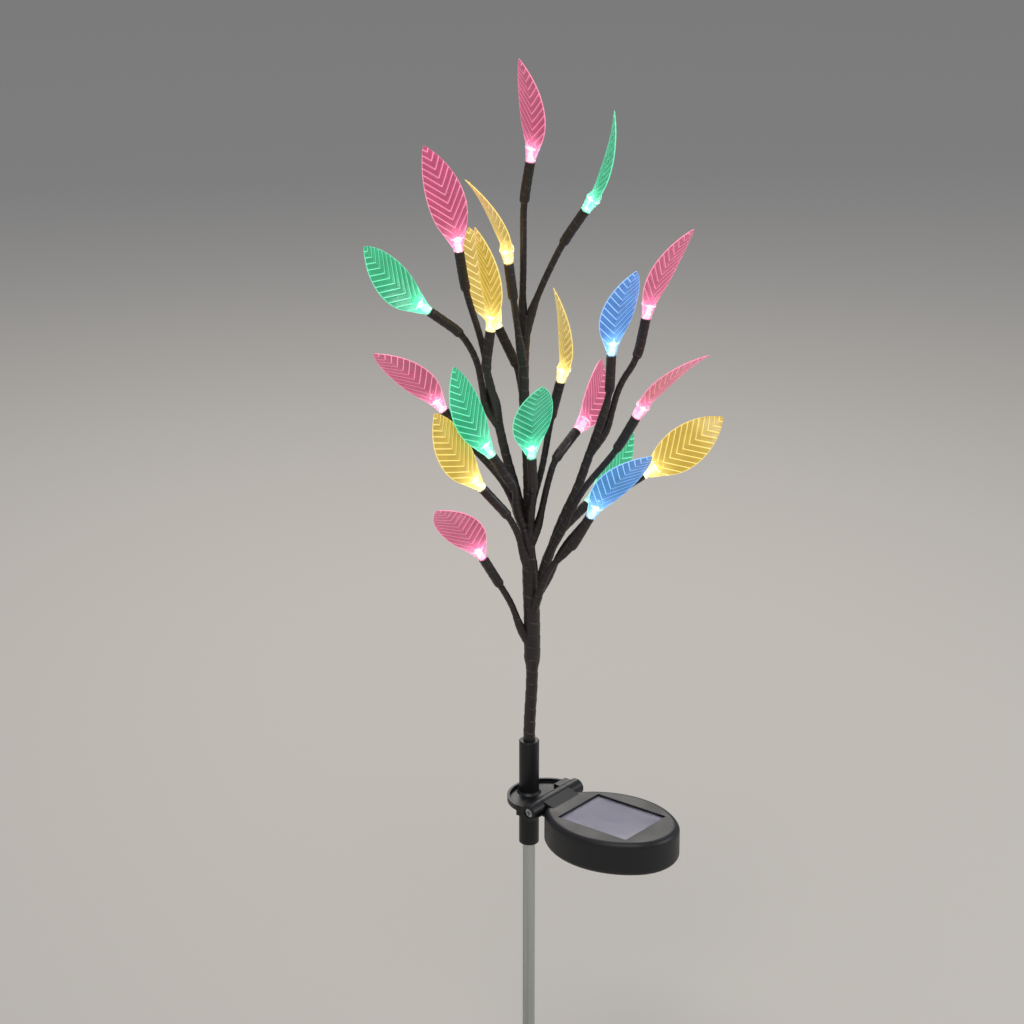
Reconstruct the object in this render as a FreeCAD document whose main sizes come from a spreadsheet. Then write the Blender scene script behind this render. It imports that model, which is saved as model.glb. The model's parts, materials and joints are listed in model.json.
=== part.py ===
"""Solar garden branch light: a clear ground stake, a hinged solar head and a tree of lit leaves.

Row frame: +Z up, the origin on the stake's axis at ground level.  +X points from the stake to the
solar head and +Y lies along the head's hinge.  The branches are laid out in a tree frame that has
its origin at the collar's lower face and is turned by tree_turn about Z from the row frame.
"""
import FreeCAD, Part
import math
import os
import Sketcher

App = FreeCAD
V = App.Vector
doc = App.newDocument("branch_light")

# ---------------------------------------------------------------- driving dimensions, millimetres
SIZES = [
    ("stake_diameter", 8.0), ("stake_exposed", 110.0), ("stake_buried", 120.0),
    ("stake_point", 16.0), ("spigot_diameter", 7.2), ("socket_depth", 30.0),
    ("running_gap", 0.05), ("free_gap", 0.3),
    ("collar_radius", 6.4), ("collar_chamfer", 0.8), ("sleeve_height", 72.0),
    ("trunk_seat", 38.0), ("trunk_diameter", 7.6), ("glue_gap", 0.1),
    ("dish_radius", 25.0), ("dish_offset", 14.0), ("dish_rise", 34.2), ("dish_height", 3.5),
    ("dish_depth", 2.2), ("dish_rim", 1.6), ("dish_skirt", 1.4),
    ("hinge_offset", 18.8), ("hinge_rise", 35.2), ("knuckle_radius", 5.5),
    ("knuckle_end", 25.5), ("knuckle_inner", 13.6), ("web_thickness", 7.0), ("web_start", 9.5),
    ("screw_radius", 1.5), ("screw_head_radius", 2.9), ("screw_head_height", 2.0),
    ("screw_recess", 3.0), ("nut_radius", 3.1), ("nut_height", 2.3), ("slot_width", 0.8),
    ("head_centre", 65.8), ("head_half_length", 45.9), ("head_half_width", 35.6),
    ("head_end_radius", 29.0),
    ("head_thickness", 22.6), ("head_above_hinge", 2.3),
    ("head_wall", 2.0), ("head_roof", 3.2), ("head_floor", 2.0), ("head_shoulder", 4.0),
    ("head_foot", 3.6), ("split_height", 5.5), ("bridge_end", 30.0), ("bridge_drop", 9.0),
    ("window_length", 53.0), ("window_width", 42.5), ("window_depth", 2.0), ("cell_fit", 0.2),
    ("cell_thickness", 0.5), ("glaze_thickness", 0.5),
    ("post_spread_x", 26.0), ("post_spread_y", 20.0), ("post_radius", 3.4),
    ("fixing_radius", 1.2), ("fixing_head_radius", 2.2), ("fixing_head_height", 1.5),
    ("fixing_recess", 1.8), ("fixing_length", 9.5),
    ("battery_radius", 7.25), ("battery_length", 50.5), ("battery_offset", 12.5),
    ("contact_size", 8.0), ("contact_thickness", 0.6), ("battery_lift", 0.1),
    ("board_length", 24.0), ("board_width", 30.0), ("board_thickness", 1.2),
    ("board_offset", -9.0), ("board_lift", 3.0), ("board_post_radius", 2.0),
    ("chip_length", 5.0), ("chip_width", 4.0), ("chip_height", 1.6), ("chip_offset", 6.0),
    ("part_spread", 8.0), ("coil_radius", 2.6), ("coil_height", 3.2), ("coil_offset", 5.0),
    ("capacitor_radius", 2.0), ("capacitor_height", 4.0), ("capacitor_offset", 7.0),
    ("board_post_inset", 3.0), ("lead_radius", 0.5), ("lead_spread", 4.0),
    ("button_radius", 2.5), ("button_flange", 3.3), ("button_proud", 1.0),
    ("button_travel", 1.5), ("switch_size", 9.0), ("flange_height", 0.6),
    ("tree_turn", 38.0), ("bough_diameter", 5.6), ("lower_bough_diameter", 4.6),
    ("fork_wrap_radius", 5.2), ("twig_diameter", 4.2), ("twig_end_diameter", 6.2),
    ("twig_end_length", 26.0), ("pivot_swell", 0.3), ("twin_spread", 2.9),
    ("leader_diameter", 6.6),
    ("leaf_length", 67.0), ("leaf_width", 26.5), ("leaf_thickness", 1.5), ("leaf_bow", 18.0),
    ("leaf_widest", 31.0), ("leaf_neck", 12.0), ("leaf_neck_half", 8.0), ("leaf_base_half", 2.4),
    ("leaf_tip_half", 0.5), ("socket_length", 13.0), ("socket_mouth_radius", 3.1),
    ("socket_wide_radius", 4.5), ("lamp_radius", 2.2), ("lamp_length", 9.4), ("lamp_gap", 0.15),
]

sizes = doc.addObject("Spreadsheet::Sheet", "sizes")
for row, (alias, size) in enumerate(SIZES, start=1):
    sizes.set("A%d" % row, alias.replace("_", " "))
    sizes.set("B%d" % row, str(size))
    sizes.setAlias("B%d" % row, alias)
doc.recompute()


def size(alias):
    """The value of one named size."""
    return float(getattr(sizes, alias))


def expression(text):
    """Spell out the sheet for an expression whose words are aliases."""
    words = []
    word = ""
    for letter in text + " ":
        if letter.isalnum() or letter == "_":
            word += letter
            continue
        words.append("sizes." + word if word and not word[0].isdigit() and word not in FUNCTIONS
                     else word)
        words.append(letter)
        word = ""
    return "".join(words).strip()


FUNCTIONS = ("cos", "sin", "tan", "sqrt", "deg")


def number(text):
    """The value that an expression of named sizes has now."""
    result = sizes.evalExpression(expression(text))
    return float(getattr(result, "Value", result))


# heights above the ground that several pieces share
COLLAR = "stake_exposed"
SLEEVE_TOP = COLLAR + " + sleeve_height"
SEAT = COLLAR + " + trunk_seat"
DISH = COLLAR + " + dish_rise"
HINGE = COLLAR + " + hinge_rise"
HEAD_TOP = HINGE + " + head_above_hinge"
HEAD_BOTTOM = HEAD_TOP + " - head_thickness"
SPLIT = HEAD_BOTTOM + " + split_height"
FLOOR = HEAD_BOTTOM + " + head_floor"
ROOF = HEAD_TOP + " - head_roof"
BOARD = FLOOR + " + board_lift"
BOARD_X = "head_centre + board_offset"
BATTERY_X = "head_centre + battery_offset"
BATTERY_Z = FLOOR + " + battery_lift + battery_radius"

NODES = {}


# ---------------------------------------------------------------- small builders
def bind(thing, **texts):
    """Bind properties of an object to expressions of named sizes."""
    for name, text in texts.items():
        thing.setExpression(name, expression(str(text)))
    return thing


def place(thing, x="0", y="0", z="0", axis=None, angle=0.0):
    """Bind an object's position; axis and angle turn it about its own origin first."""
    if axis:
        thing.Placement = App.Placement(V(), App.Rotation(axis, angle))
    for name, text in (("x", x), ("y", y), ("z", z)):
        thing.setExpression(".Placement.Base." + name, expression(str(text)))
    return thing


def cylinder(name, radius, height, x="0", y="0", z="0", axis=None, angle=0.0):
    """A round bar whose axis runs up from its base point unless it is turned."""
    bar = bind(doc.addObject("Part::Cylinder", name), Radius=radius, Height=height)
    return place(bar, x, y, z, axis, angle)


def box(name, x, y, z, length, width, height):
    """A block from its lowest corner."""
    block = bind(doc.addObject("Part::Box", name), Length=length, Width=width, Height=height)
    return place(block, x, y, z)


def fuse(name, pieces):
    """Join solids into one."""
    joined = doc.addObject("Part::MultiFuse", name)
    joined.Shapes = pieces
    joined.Refine = True
    return joined


def cut(name, base, tools):
    """Take one or more solids away from another."""
    tool = tools[0] if len(tools) == 1 else fuse(name + "_tools", tools)
    result = doc.addObject("Part::Cut", name)
    result.Base = base
    result.Tool = tool
    return result


def node(name, thing):
    """Record an object as the sub-part of that name."""
    thing.Label = name
    NODES[name] = thing
    return thing


def origin_plane(body, role):
    """One of a body's own origin planes."""
    for feature in body.Origin.OriginFeatures:
        if feature.Role == role:
            return feature
    raise ValueError("no origin plane " + role)


def sketch_on(body, name, role):
    """A sketch on an origin plane of its body."""
    sketch = body.newObject("Sketcher::SketchObject", name)
    sketch.AttachmentSupport = [(origin_plane(body, role), "")]
    sketch.MapMode = "FlatFace"
    return sketch


def pin(sketch, shape, vertex, x, y):
    """Hold one vertex of a sketch shape at a place given by expressions."""
    for kind, text in (("DistanceX", x), ("DistanceY", y)):
        index = sketch.addConstraint(
            Sketcher.Constraint(kind, -1, 1, shape, vertex, number(text)))
        sketch.setExpression("Constraints[%d]" % index, expression(text))


def polygon(sketch, corners):
    """A closed outline of straight lines through corners given by expressions."""
    points = [V(number(x), number(y), 0) for x, y in corners]
    first = sketch.GeometryCount
    for index, start in enumerate(points):
        sketch.addGeometry(Part.LineSegment(start, points[(index + 1) % len(points)]), False)
    for index, (x, y) in enumerate(corners):
        previous = first + (index - 1) % len(points)
        sketch.addConstraint(Sketcher.Constraint("Coincident", previous, 2, first + index, 1))
        pin(sketch, first + index, 1, x, y)


def turned(name, corners, axis="V_Axis"):
    """A body of revolution: the outline lies in the XZ plane, turned about Z or about X."""
    body = doc.addObject("PartDesign::Body", name)
    sketch = sketch_on(body, name + "_outline", "XZ_Plane")
    polygon(sketch, corners)
    spin = body.newObject("PartDesign::Revolution", name + "_turn")
    spin.Profile = sketch
    spin.ReferenceAxis = (sketch, [axis])
    spin.Angle = 360.0
    body.Tip = spin
    return body


# ---------------------------------------------------------------- ground stake and bracket
def build_stake():
    """A clear rod with a conical point, stepped down at its top to a spigot that turns in the
    collar; the step carries the bracket."""
    radius = "stake_diameter / 2"
    spigot = "spigot_diameter / 2"
    step = COLLAR + " - free_gap"
    top = COLLAR + " + socket_depth - free_gap"
    node("ground_stake", turned("ground_stake", [
        ("0", "0 - stake_buried"), (radius, "stake_point - stake_buried"),
        (radius, step), (spigot, step), (spigot, top), ("0", top)]))


def build_bracket():
    """Collar, sleeve, D-shaped dish and outer hinge knuckles, moulded as one piece."""
    chamfered = "collar_radius - collar_chamfer"
    tube = turned("bracket_tube", [
        ("0", COLLAR), (chamfered, COLLAR), ("collar_radius", COLLAR + " + collar_chamfer"),
        ("collar_radius", SLEEVE_TOP + " - collar_chamfer / 2"),
        ("collar_radius - collar_chamfer / 2", SLEEVE_TOP), ("0", SLEEVE_TOP)])
    plate = cylinder("dish_plate", "dish_radius", "dish_height", "dish_offset", "0", DISH)
    recess = cylinder("dish_recess", "dish_radius - dish_rim", "dish_height",
                      "dish_offset", "0", DISH + " + dish_height - dish_depth")
    straight = "hinge_offset - knuckle_radius - free_gap"
    beyond = box("dish_beyond", straight, "0 - 2 * dish_radius", DISH + " - dish_height",
                 "2 * dish_radius", "4 * dish_radius", "3 * dish_height")
    dish = cut("dish", plate, [recess, beyond])
    skirt = bind(doc.addObject("Part::Cone", "dish_skirt"), Radius1="collar_radius + dish_skirt",
                 Radius2="collar_radius", Height="dish_skirt")
    place(skirt, "0", "0", DISH + " + dish_height - dish_depth")
    solids = [tube, dish, skirt]
    width = "knuckle_end - knuckle_inner"
    for side, start in (("near", "0 - knuckle_end"), ("far", "knuckle_inner")):
        solids.append(cylinder("knuckle_" + side, "knuckle_radius", width, "hinge_offset",
                               start, HINGE, V(1, 0, 0), -90.0))
        solids.append(box("web_" + side, "web_start", start, HINGE + " - web_thickness / 2",
                          "hinge_offset - web_start", width, "web_thickness"))
    body = fuse("bracket_solid", solids)
    stake_bore = cylinder("stake_bore", "spigot_diameter / 2 + running_gap", "socket_depth",
                          "0", "0", COLLAR)
    trunk_bore = cylinder("trunk_bore", "trunk_diameter / 2 + glue_gap",
                          "sleeve_height", "0", "0", SEAT)
    screw_bore = cylinder("screw_bore", "screw_radius", "4 * knuckle_end", "hinge_offset",
                          "0 - 2 * knuckle_end", HINGE, V(1, 0, 0), -90.0)
    head_recess = cylinder("screw_head_recess", "screw_head_radius + free_gap", "knuckle_end",
                           "hinge_offset", "screw_recess - 2 * knuckle_end", HINGE,
                           V(1, 0, 0), -90.0)
    nut_recess = bind(doc.addObject("Part::Prism", "nut_recess"),
                      Circumradius="nut_radius + free_gap", Height="knuckle_end")
    nut_recess.Polygon = 6
    place(nut_recess, "hinge_offset", "knuckle_end - nut_height - free_gap", HINGE,
          V(1, 0, 0), -90.0)
    node("bracket", cut("bracket", body, [stake_bore, trunk_bore, screw_bore,
                                          head_recess, nut_recess]))


def build_hinge_screw():
    """A pan-head screw with a cross recess, and the hexagon nut at its far end."""
    seat = "screw_recess - knuckle_end"
    shank = cylinder("screw_shank", "screw_radius", "2 * knuckle_end - screw_recess - free_gap",
                     "hinge_offset", seat, HINGE, V(1, 0, 0), -90.0)
    head = cylinder("screw_head", "screw_head_radius", "screw_head_height", "hinge_offset",
                    seat + " - screw_head_height", HINGE, V(1, 0, 0), -90.0)
    long_side = "1.2 * screw_head_radius"
    slots = []
    for name, length, height in (("slot_flat", long_side, "slot_width"),
                                 ("slot_upright", "slot_width", long_side)):
        slots.append(box(name, "hinge_offset - (%s) / 2" % length,
                         seat + " - 1.5 * screw_head_height", HINGE + " - (%s) / 2" % height,
                         length, "screw_head_height", height))
    node("hinge_screw", cut("hinge_screw", fuse("screw_solid", [shank, head]), slots))
    blank = bind(doc.addObject("Part::Prism", "nut_blank"), Circumradius="nut_radius",
                 Height="nut_height")
    blank.Polygon = 6
    place(blank, "hinge_offset", "knuckle_end - nut_height - free_gap", HINGE, V(1, 0, 0), -90.0)
    bore = cylinder("nut_bore", "screw_radius", "4 * nut_height", "hinge_offset",
                    "knuckle_end - 2 * nut_height", HINGE, V(1, 0, 0), -90.0)
    node("hinge_nut", cut("hinge_nut", blank, [bore]))


# ---------------------------------------------------------------- solar head
def oval(name, inset, bottom, height, rim=None, rim_radius=None):
    """An upright block of the head's plan: two end arcs and two flatter side arcs, all tangent.

    Every arc stands inset from the head's own outline.  Where rim gives a level, the edge at that
    level is rounded by the named rim radius.
    """
    body = doc.addObject("PartDesign::Body", name + "_body")
    sketch = sketch_on(body, name + "_plan", "XY_Plane")
    end_centre = "(head_half_length - head_end_radius)"
    side_radius = ("((%s ^ 2 + head_half_width ^ 2 - head_end_radius ^ 2)"
                   " / (2 * (head_half_width - head_end_radius)))" % end_centre)
    side_centre = "(%s - head_half_width)" % side_radius
    share = "((head_end_radius - (%s)) / (%s - head_end_radius))" % (inset, side_radius)
    joint_x = "%s * (1 + %s)" % (end_centre, share)
    joint_y = "%s * %s" % (side_centre, share)
    x, y = number(joint_x), number(joint_y)
    lean = math.atan2(number(side_centre), number(end_centre))
    end_size = size("head_end_radius") - number(inset)
    side_size = number(side_radius) - number(inset)
    arcs = [(number(end_centre), 0.0, end_size, -lean, lean),
            (0.0, -number(side_centre), side_size, lean, math.pi - lean),
            (-number(end_centre), 0.0, end_size, math.pi - lean, math.pi + lean),
            (0.0, number(side_centre), side_size, math.pi + lean, 2 * math.pi - lean)]
    signs = [("", "-"), ("", ""), ("-", ""), ("-", "-")]
    for index, (middle_x, middle_y, reach, start, finish) in enumerate(arcs):
        circle = Part.Circle(V(middle_x, middle_y, 0), V(0, 0, 1), reach)
        arc = sketch.addGeometry(Part.ArcOfCircle(circle, start, finish), False)
        for vertex, (sign_x, sign_y) in ((1, signs[index]), (2, signs[(index + 1) % 4])):
            pin(sketch, arc, vertex, "0 %s %s" % (sign_x or "+", joint_x),
                "0 %s %s" % (sign_y or "+", joint_y))
        kind, text = (("DistanceX", end_centre) if index % 2 == 0 else
                      ("DistanceY", side_centre))
        text = "0 %s %s" % ("+" if index in (0, 3) else "-", text)
        held = sketch.addConstraint(
            Sketcher.Constraint(kind, -1, 1, arc, 3, number(text)))
        sketch.setExpression("Constraints[%d]" % held, expression(text))
    pad = body.newObject("PartDesign::Pad", name + "_pad")
    pad.Profile = sketch
    bind(pad, Length=height)
    body.Tip = pad
    block = place(body, "head_centre", "0", bottom)
    if rim:
        block = rounded_rim(name + "_soft", block, rim, rim_radius)
    return block


def rounded_rim(name, block, level, rim_radius):
    """Round the block's edge that lies at one level."""
    doc.recompute()
    height = number(level)
    edges = [index for index, edge in enumerate(block.Shape.Edges, start=1)
             if all(abs(vertex.Z - height) < 1e-6 for vertex in edge.Vertexes)]
    soft = doc.addObject("Part::Fillet", name)
    soft.Base = block
    radius = size(rim_radius)
    soft.Edges = [(index, radius, radius) for index in edges]
    return soft


def post_places():
    """Where the four fixing posts stand, as expressions."""
    return [("head_centre %s post_spread_x" % a, "0 %s post_spread_y" % b)
            for a in "+-" for b in "+-"]


def build_top_cover():
    """Upper shell: rounded rim, recess for the cell, fixing posts and the hinge knuckle."""
    outer = oval("top_outer", "0", SPLIT, "head_thickness - split_height", HEAD_TOP,
                 "head_shoulder")
    inner = oval("top_inner", "head_wall", SPLIT,
                 "head_thickness - split_height - head_roof")
    shell = cut("top_shell", outer, [inner])
    knuckle = doc.addObject("PartDesign::Body", "middle_knuckle")
    profile = sketch_on(knuckle, "middle_knuckle_outline", "XZ_Plane")
    polygon(profile, [("hinge_offset", HINGE + " + knuckle_radius"), ("bridge_end", HEAD_TOP),
                      ("bridge_end", HEAD_TOP + " - bridge_drop"),
                      ("hinge_offset", HINGE + " - knuckle_radius")])
    pad = knuckle.newObject("PartDesign::Pad", "middle_knuckle_pad")
    pad.Profile = profile
    pad.Midplane = True
    bind(pad, Length="2 * (knuckle_inner - free_gap)")
    knuckle.Tip = pad
    barrel = cylinder("middle_barrel", "knuckle_radius", "2 * (knuckle_inner - free_gap)",
                      "hinge_offset", "free_gap - knuckle_inner", HINGE, V(1, 0, 0), -90.0)
    keep = cut("bridge", fuse("bridge_solid", [knuckle, barrel]), [
        oval("bridge_clear", "head_wall", HEAD_BOTTOM, "head_thickness - head_roof")])
    posts = [cylinder("top_post_%d" % index, "post_radius", "%s - (%s)" % (ROOF, SPLIT),
                      x, y, SPLIT)
             for index, (x, y) in enumerate(post_places())]
    cover = fuse("top_cover_solid", [shell, keep] + posts)
    window = box("window_recess", "head_centre - window_length / 2", "0 - window_width / 2",
                 HEAD_TOP + " - window_depth", "window_length", "window_width",
                 "2 * window_depth")
    screw_bore = cylinder("middle_bore", "screw_radius + running_gap", "4 * knuckle_inner",
                          "hinge_offset", "0 - 2 * knuckle_inner", HINGE, V(1, 0, 0), -90.0)
    holes = [cylinder("top_hole_%d" % index, "fixing_radius", "fixing_length",
                      x, y, HEAD_BOTTOM + " + fixing_recess")
             for index, (x, y) in enumerate(post_places())]
    leads = [cylinder("lead_hole_%d" % index, "2 * lead_radius", "head_thickness",
                      BOARD_X, "0 %s lead_spread" % side, SPLIT)
             for index, side in enumerate("+-")]
    node("panel_top_cover", cut("panel_top_cover", cover, [window, screw_bore] + holes + leads
                                + knuckle_clearances("top")))


def knuckle_clearances(name):
    """Round spaces about the outer knuckles, so that the head clears them however it tilts."""
    return [cylinder("%s_clear_%s" % (name, side), "knuckle_radius + free_gap",
                     "knuckle_end - knuckle_inner + 2 * free_gap", "hinge_offset", start, HINGE,
                     V(1, 0, 0), -90.0)
            for side, start in (("near", "0 - knuckle_end - free_gap"),
                                ("far", "knuckle_inner - free_gap"))]


def build_bottom_cover():
    """Lower tray: rounded rim, fixing posts with screw recesses, board posts, button hole."""
    outer = oval("bottom_outer", "0", HEAD_BOTTOM, "split_height", HEAD_BOTTOM, "head_foot")
    inner = oval("bottom_inner", "head_wall", FLOOR, "split_height")
    tray = cut("bottom_tray", outer, [inner])
    posts = [cylinder("bottom_post_%d" % index, "post_radius", "split_height - head_floor / 2",
                      x, y, HEAD_BOTTOM + " + head_floor / 2")
             for index, (x, y) in enumerate(post_places())]
    half_x = "board_length / 2 - board_post_inset"
    half_y = "board_width / 2 - board_post_inset"
    rests = [cylinder("board_post_%d" % index, "board_post_radius",
                      "board_lift + head_floor / 2", "%s %s (%s)" % (BOARD_X, a, half_x),
                      "0 %s (%s)" % (b, half_y), HEAD_BOTTOM + " + head_floor / 2")
             for index, (a, b) in enumerate([(a, b) for a in "+-" for b in "+-"])]
    holes = []
    for index, (x, y) in enumerate(post_places()):
        holes.append(cylinder("bottom_hole_%d" % index, "fixing_radius", "fixing_length",
                              x, y, HEAD_BOTTOM))
        holes.append(cylinder("bottom_recess_%d" % index, "fixing_head_radius + free_gap / 2",
                              "fixing_recess", x, y, HEAD_BOTTOM))
    button_hole = cylinder("button_hole", "button_radius + free_gap", "2 * head_floor",
                           BOARD_X, "0", HEAD_BOTTOM + " - head_floor / 2")
    node("panel_bottom_cover", cut("panel_bottom_cover",
                                   fuse("bottom_solid", [tray] + posts + rests),
                                   holes + [button_hole] + knuckle_clearances("bottom")))


def build_cell():
    """The solar cell in its recess under a clear glaze."""
    length = "window_length - 2 * cell_fit"
    width = "window_width - 2 * cell_fit"
    x = "head_centre - (%s) / 2" % length
    y = "0 - (%s) / 2" % width
    bottom = HEAD_TOP + " - window_depth"
    node("solar_cell", box("solar_cell", x, y, bottom, length, width, "cell_thickness"))
    node("cell_glaze", box("cell_glaze", x, y, bottom + " + cell_thickness", length, width,
                           "glaze_thickness"))


def build_battery():
    """A rechargeable cell lying across the head, with its cap and two contact plates."""
    can = cylinder("battery_can", "battery_radius", "battery_length", BATTERY_X,
                   "0 - battery_length / 2", BATTERY_Z, V(1, 0, 0), -90.0)
    node("battery", can)
    plates = []
    for name, y in (("plate_near", "0 - battery_length / 2 - contact_thickness"),
                    ("plate_far", "battery_length / 2")):
        plates.append(box(name, BATTERY_X + " - contact_size / 2", y, FLOOR, "contact_size",
                          "contact_thickness", "contact_size"))
    contacts = doc.addObject("Part::Compound", "battery_contacts")
    contacts.Links = plates
    node("battery_contacts", contacts)


def build_board():
    """Circuit board with its chip, coil and capacitor as separate solids."""
    x = BOARD_X + " - board_length / 2"
    top = BOARD + " + board_thickness"
    pieces = [box("board_sheet", x, "0 - board_width / 2", BOARD, "board_length",
                  "board_width", "board_thickness")]
    pieces.append(box("chip", BOARD_X + " - part_spread", "chip_offset", top,
                      "chip_length", "chip_width", "chip_height"))
    pieces.append(cylinder("coil", "coil_radius", "coil_height", BOARD_X + " - coil_offset",
                           "0 - part_spread", top))
    pieces.append(cylinder("capacitor", "capacitor_radius", "capacitor_height",
                           BOARD_X + " + capacitor_offset", "0 - part_spread", top))
    board = doc.addObject("Part::Compound", "circuit_board")
    board.Links = pieces
    node("circuit_board", board)
    leads = doc.addObject("Part::Compound", "cell_leads")
    leads.Links = [
        cylinder("cell_lead_%d" % index, "lead_radius",
                 "%s - window_depth - (%s)" % (HEAD_TOP, top), BOARD_X,
                 "0 %s lead_spread" % side, top)
        for index, side in enumerate("+-")]
    node("cell_leads", leads)


def build_switch():
    """Switch body under the board and the button that slides up into it."""
    bottom = FLOOR + " + free_gap / 3"
    block = box("switch_block", BOARD_X + " - switch_size / 2", "0 - switch_size / 2", bottom,
                "switch_size", "switch_size", "board_lift - free_gap / 3")
    chamber = cylinder("switch_chamber", "button_flange + free_gap",
                       "flange_height + button_travel + 2 * free_gap", BOARD_X, "0", FLOOR)
    node("switch_body", cut("switch_body", block, [chamber]))
    stem = cylinder("button_stem", "button_radius",
                    "button_proud + head_floor + free_gap", BOARD_X, "0",
                    HEAD_BOTTOM + " - button_proud")
    flange = cylinder("button_flange_disc", "button_flange", "flange_height", BOARD_X, "0",
                      FLOOR + " + free_gap")
    node("power_button", fuse("power_button", [stem, flange]))


def build_fixings():
    """Four screws that hold the two covers together from below."""
    solids = []
    for index, (x, y) in enumerate(post_places()):
        seat = HEAD_BOTTOM + " + fixing_recess"
        shank = cylinder("fixing_shank_%d" % index, "fixing_radius",
                         "fixing_length - fixing_recess", x, y, seat)
        head = cylinder("fixing_head_%d" % index, "fixing_head_radius", "fixing_head_height",
                        x, y, seat + " - fixing_head_height")
        solids.append(fuse("fixing_%d" % index, [shank, head]))
    screws = doc.addObject("Part::Compound", "housing_screws")
    screws.Links = solids
    node("housing_screws", screws)


# ---------------------------------------------------------------- branches
def tree_to_row(point):
    """A point of the tree frame, in the row frame."""
    turn = math.radians(size("tree_turn"))
    x, y, z = point
    return V(x * math.cos(turn) - y * math.sin(turn), x * math.sin(turn) + y * math.cos(turn),
             z + size("stake_exposed"))


def heading(yaw, pitch):
    """Unit direction in the row frame for a yaw and a pitch in the tree frame, in degrees."""
    turn = math.radians(yaw + size("tree_turn"))
    lift = math.radians(pitch)
    return V(math.cos(turn) * math.cos(lift), math.sin(turn) * math.cos(lift), math.sin(lift))


def rounded_path(points):
    """Straight runs through the points, joined by arcs tangent to them at each bend."""
    share = 0.45
    edges = []
    start = points[0]
    for before, corner, after in zip(points, points[1:], points[2:]):
        arrive = (corner - before).normalize()
        leave = (after - corner).normalize()
        half_turn = arrive.getAngle(leave) / 2
        if half_turn < math.radians(0.5):
            continue
        reach = share * min((corner - before).Length, (after - corner).Length)
        radius = reach / math.tan(half_turn)
        inward = (leave - arrive).normalize()
        enter = corner - arrive * reach
        middle = corner + inward * (radius / math.cos(half_turn) - radius)
        exit_point = corner + leave * reach
        edges.append(Part.LineSegment(start, enter).toShape())
        edges.append(Part.Arc(enter, middle, exit_point).toShape())
        start = exit_point
    edges.append(Part.LineSegment(start, points[-1]).toShape())
    return edges


def swept(edges, radius):
    """A round bar along a path of runs and arcs; its volume must be its section times length."""
    path = Part.Wire(edges)
    start = edges[0].valueAt(edges[0].FirstParameter)
    along = edges[0].tangentAt(edges[0].FirstParameter)
    ring = Part.Wire(Part.Circle(start, along, radius).toShape())
    bar = path.makePipeShell([ring], True, False)
    expected = math.pi * radius ** 2 * path.Length
    if abs(bar.Volume - expected) > 0.002 * expected:
        raise ValueError("a bar came out with the wrong volume")
    return bar


def split_path(edges, end_length):
    """Cut a path in two, end_length before its end."""
    upper = []
    left = end_length
    lower = list(edges)
    while lower and lower[-1].Length <= left:
        left -= lower[-1].Length
        upper.insert(0, lower.pop())
    if left > 0.01 and lower:
        edge = lower.pop()
        middle = edge.getParameterByLength(edge.Length - left)
        lower.append(edge.Curve.toShape(edge.FirstParameter, middle))
        upper.insert(0, edge.Curve.toShape(middle, edge.LastParameter))
    return lower, upper


# Centre-lines of the trunk and the boughs: points of the tree frame.
TRUNK = [(0, 0, size("trunk_seat")), (0, 0, 82), (1.8, 0, 112), (1.8, 0, 150),
         (0.5, 0.5, 186), (-0.5, 1, 222), (-1, 2, 260), (-3.5, 2, 298), (-4, 2, 326),
         (-2, 1.5, 355)]
LEADER_START = 178
LEFT_BOUGH = [(-1, 1, 206), (-7, 3, 236), (-15, 4, 264), (-20, 4, 288), (-24, 4, 306)]
LOWER_LEFT_BOUGH = [(-1, 0, 204), (-6, -4, 226), (-11, -5, 240)]
RIGHT_BOUGH = [(1.5, 0, 156), (4.5, 1, 174), (11, 2, 194), (20, 4, 220), (30, 8, 240),
               (36, 11, 258), (42, 13, 274), (45, 13, 284)]
FORK_WRAP = [(1.8, 0, 122), (1.8, 0, 150), (0.5, 0.5, 186), (0.2, 0.7, 197)]

CARRIERS = {"trunk": (TRUNK, "trunk_diameter"), "left_bough": (LEFT_BOUGH, "bough_diameter"),
            "lower_left_bough": (LOWER_LEFT_BOUGH, "lower_bough_diameter"),
            "right_bough": (RIGHT_BOUGH, "bough_diameter")}

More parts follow.
